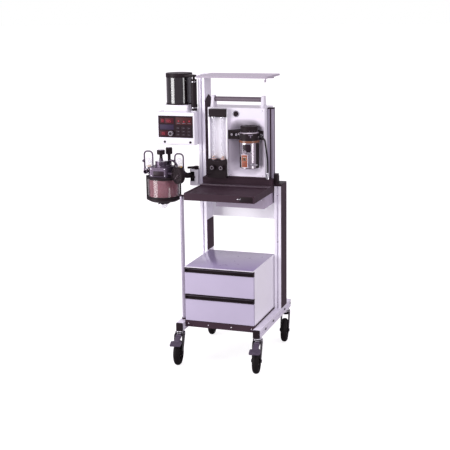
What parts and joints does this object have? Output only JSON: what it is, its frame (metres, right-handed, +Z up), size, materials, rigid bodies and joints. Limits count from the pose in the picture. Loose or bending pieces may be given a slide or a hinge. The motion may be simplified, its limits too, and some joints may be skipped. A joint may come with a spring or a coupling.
{
  "type": "anesthesia machine",
  "caption": "Mobile anesthesia trolley with drawers, worktop, flowmeter, vaporizer, bellows ventilator and a swing-out circle absorber.",
  "frame": {"origin": "on the floor, at the bottom centre of the whole machine's box", "axes": "+X the user's right, -Y the front, +Z up"},
  "size_m": [0.7319, 0.6646, 1.406],
  "materials": {
    "rail_aluminium": "satin anodised",
    "white_paint": "satin powder coat",
    "drawer_paint": "satin powder coat, pale grey",
    "dark_paint": "textured dark brown-black coat",
    "grey_paint": "satin grey coat",
    "black_plastic": "moulded, fine grain",
    "white_plastic": "moulded",
    "clear_glass": "polished",
    "smoked_glass": "smoked, polished",
    "chrome": "polished",
    "head_metal": "dark nickel",
    "shelf_paint": "satin grey coat",
    "handle_coat": "satin dark grey coat",
    "post_aluminium": "satin anodised, grey",
    "steel": "brushed",
    "tyre": "moulded rubber",
    "rubber": "matt",
    "float_metal": "turned",
    "granules": "packed pink granules",
    "pointer_paint": "white",
    "fork_coat": "black coat"
  },
  "bodies": {
    "frame": {"side_rails": "rail_aluminium", "caster_sockets": "black_plastic", "base_deck": "dark_paint", "columns": "rail_aluminium", "posts": "post_aluminium", "column_covers": "dark_paint", "rear_panels": "white_paint", "drawer_cabinet": "white_paint", "worktop": "dark_paint", "plinth": "dark_paint", "under_box": "grey_paint", "gas_cabinet": "white_paint", "handle_tube": "handle_coat", "top_shelf": "shelf_paint", "flow_blocks": "black_plastic", "flow_tubes": "clear_glass", "vaporizer_manifold": "black_plastic", "vaporizer_body": "steel", "fresh_gas_hose": "rubber", "gas_fittings": "chrome", "ventilator_case": "white_paint", "ventilator_panel": "black_plastic", "bellows_canister": "smoked_glass", "bellows_lid": "black_plastic", "arm_bracket": "white_paint"},
    "upper_drawer": {"upper_drawer": "drawer_paint", "upper_drawer_handle": "black_plastic"},
    "lower_drawer": {"lower_drawer": "drawer_paint", "lower_drawer_handle": "black_plastic"},
    "absorber": {"absorber_arm": "black_plastic", "airway_gauge": "black_plastic", "absorber_head": "head_metal", "valve_domes": "clear_glass", "absorber_frame": "black_plastic", "absorber_canister": "clear_glass", "absorbent": "granules", "dust_cup": "clear_glass"},
    "flow_float_oxygen": {"flow_float_oxygen": "float_metal"},
    "flow_float_second_gas": {"flow_float_second_gas": "float_metal"},
    "flow_knob_oxygen": {"flow_knob_oxygen": "black_plastic"},
    "flow_knob_second_gas": {"flow_knob_second_gas": "black_plastic"},
    "flush_button": {"flush_button": "black_plastic"},
    "vaporizer_dial": {"vaporizer_dial": "black_plastic"},
    "filler_lever": {"filler_lever": "chrome"},
    "ventilator_knob": {"ventilator_knob": "white_plastic"},
    "bellows": {"bellows": "rubber"},
    "clamp_lever": {"clamp_lever": "black_plastic"},
    "gauge_pointer": {"gauge_pointer": "pointer_paint"},
    "apl_knob": {"apl_knob": "black_plastic"},
    "selector_knob": {"selector_knob": "black_plastic"},
    "caster_front_left": {"caster_fork_front_left": "fork_coat"},
    "wheel_front_left": {"caster_wheel_front_left": "tyre"},
    "pedal_front_left": {"brake_pedal_front_left": "grey_paint"},
    "caster_front_right": {"caster_fork_front_right": "fork_coat"},
    "wheel_front_right": {"caster_wheel_front_right": "tyre"},
    "pedal_front_right": {"brake_pedal_front_right": "grey_paint"},
    "caster_rear_left": {"caster_fork_rear_left": "fork_coat"},
    "wheel_rear_left": {"caster_wheel_rear_left": "tyre"},
    "caster_rear_right": {"caster_fork_rear_right": "fork_coat"},
    "wheel_rear_right": {"caster_wheel_rear_right": "tyre"}
  },
  "joints": [
    {"name": "front_left_swivel", "type": "hinge", "parent": "frame", "child": "caster_front_left", "pos_m": [-0.0849, -0.2087, 0.15], "axis": [0, 0, 1], "continuous": true},
    {"name": "front_left_roll", "type": "hinge", "parent": "caster_front_left", "child": "wheel_front_left", "pos_m": [-0.07786, -0.25315, 0.0625], "axis": [0.9877, 0.1564, 0], "continuous": true},
    {"name": "front_left_brake", "type": "hinge", "parent": "caster_front_left", "child": "pedal_front_left", "pos_m": [-0.07989, -0.24031, 0.145], "axis": [0.9877, 0.1564, 0], "range_deg": [0, 8]},
    {"name": "front_right_swivel", "type": "hinge", "parent": "frame", "child": "caster_front_right", "pos_m": [0.3211, -0.2087, 0.15], "axis": [0, 0, 1], "continuous": true},
    {"name": "front_right_roll", "type": "hinge", "parent": "caster_front_right", "child": "wheel_front_right", "pos_m": [0.32814, -0.25315, 0.0625], "axis": [0.9877, 0.1564, 0], "continuous": true},
    {"name": "front_right_brake", "type": "hinge", "parent": "caster_front_right", "child": "pedal_front_right", "pos_m": [0.32611, -0.24031, 0.145], "axis": [0.9877, 0.1564, 0], "range_deg": [0, 8]},
    {"name": "rear_left_swivel", "type": "hinge", "parent": "frame", "child": "caster_rear_left", "pos_m": [-0.0849, 0.2833, 0.15], "axis": [0, 0, 1], "continuous": true},
    {"name": "rear_left_roll", "type": "hinge", "parent": "caster_rear_left", "child": "wheel_rear_left", "pos_m": [-0.07786, 0.23885, 0.0625], "axis": [0.9877, 0.1564, 0], "continuous": true},
    {"name": "rear_right_swivel", "type": "hinge", "parent": "frame", "child": "caster_rear_right", "pos_m": [0.3211, 0.2833, 0.15], "axis": [0, 0, 1], "continuous": true},
    {"name": "rear_right_roll", "type": "hinge", "parent": "caster_rear_right", "child": "wheel_rear_right", "pos_m": [0.32814, 0.23885, 0.0625], "axis": [0.9877, 0.1564, 0], "continuous": true},
    {"name": "upper_drawer_slide", "type": "slide", "parent": "frame", "child": "upper_drawer", "axis": [0, -1, 0], "range_m": [0, 0.28]},
    {"name": "lower_drawer_slide", "type": "slide", "parent": "frame", "child": "lower_drawer", "axis": [0, -1, 0], "range_m": [0, 0.28]},
    {"name": "oxygen_flow_control", "type": "hinge", "parent": "frame", "child": "flow_knob_oxygen", "pos_m": [0.0041, 0.0493, 0.945], "axis": [0, -1, 0], "range_deg": [0, 630]},
    {"name": "oxygen_float_rise", "type": "slide", "parent": "frame", "child": "flow_float_oxygen", "axis": [0, 0, 1], "range_m": [0, 0.165]},
    {"name": "second_gas_flow_control", "type": "hinge", "parent": "frame", "child": "flow_knob_second_gas", "pos_m": [0.0511, 0.0493, 0.945], "axis": [0, -1, 0], "range_deg": [0, 630]},
    {"name": "second_gas_float_rise", "type": "slide", "parent": "frame", "child": "flow_float_second_gas", "axis": [0, 0, 1], "range_m": [0, 0.165]},
    {"name": "oxygen_flush_press", "type": "slide", "parent": "frame", "child": "flush_button", "axis": [0, 1, 0], "range_m": [0, 0.005], "stiffness_N_per_m": 800, "springref_m": -0.002},
    {"name": "vaporizer_dial_turn", "type": "hinge", "parent": "frame", "child": "vaporizer_dial", "pos_m": [0.1951, 0.0733, 1.13], "axis": [0, 0, 1], "range_deg": [0, 290]},
    {"name": "filler_lever_turn", "type": "hinge", "parent": "frame", "child": "filler_lever", "pos_m": [0.2241, 0.0253, 0.972], "axis": [0, -1, 0], "range_deg": [0, 80]},
    {"name": "ventilator_knob_turn", "type": "hinge", "parent": "frame", "child": "ventilator_knob", "pos_m": [-0.2269, 0.0793, 1.107], "axis": [0, -1, 0], "continuous": true},
    {"name": "bellows_stroke", "type": "slide", "parent": "frame", "child": "bellows", "axis": [0, 0, 1], "range_m": [-0.09, 0], "deforming": ["bellows"]},
    {"name": "absorber_swing", "type": "hinge", "parent": "frame", "child": "absorber", "pos_m": [-0.1359, 0.1493, 0.88], "axis": [0, 0, 1], "range_deg": [-60, 26]},
    {"name": "clamp_lever_turn", "type": "hinge", "parent": "frame", "child": "clamp_lever", "pos_m": [-0.1129, 0.1393, 0.925], "axis": [0, 0, 1], "range_deg": [-30, 60]},
    {"name": "airway_pressure_needle", "type": "hinge", "parent": "absorber", "child": "gauge_pointer", "pos_m": [-0.1379, -0.0507, 0.916], "axis": [-0.5, -0.866, 0], "range_deg": [-270, 0], "stiffness_Nm_per_rad": 0.0005},
    {"name": "relief_valve_turn", "type": "hinge", "parent": "absorber", "child": "apl_knob", "pos_m": [-0.2609, 0.0253, 1.015], "axis": [0, 0, 1], "range_deg": [0, 300]},
    {"name": "bag_selector_turn", "type": "hinge", "parent": "absorber", "child": "selector_knob", "pos_m": [-0.2319, 0.0633, 1.015], "axis": [0, 0, 1], "range_deg": [-90, 0]}
  ]
}
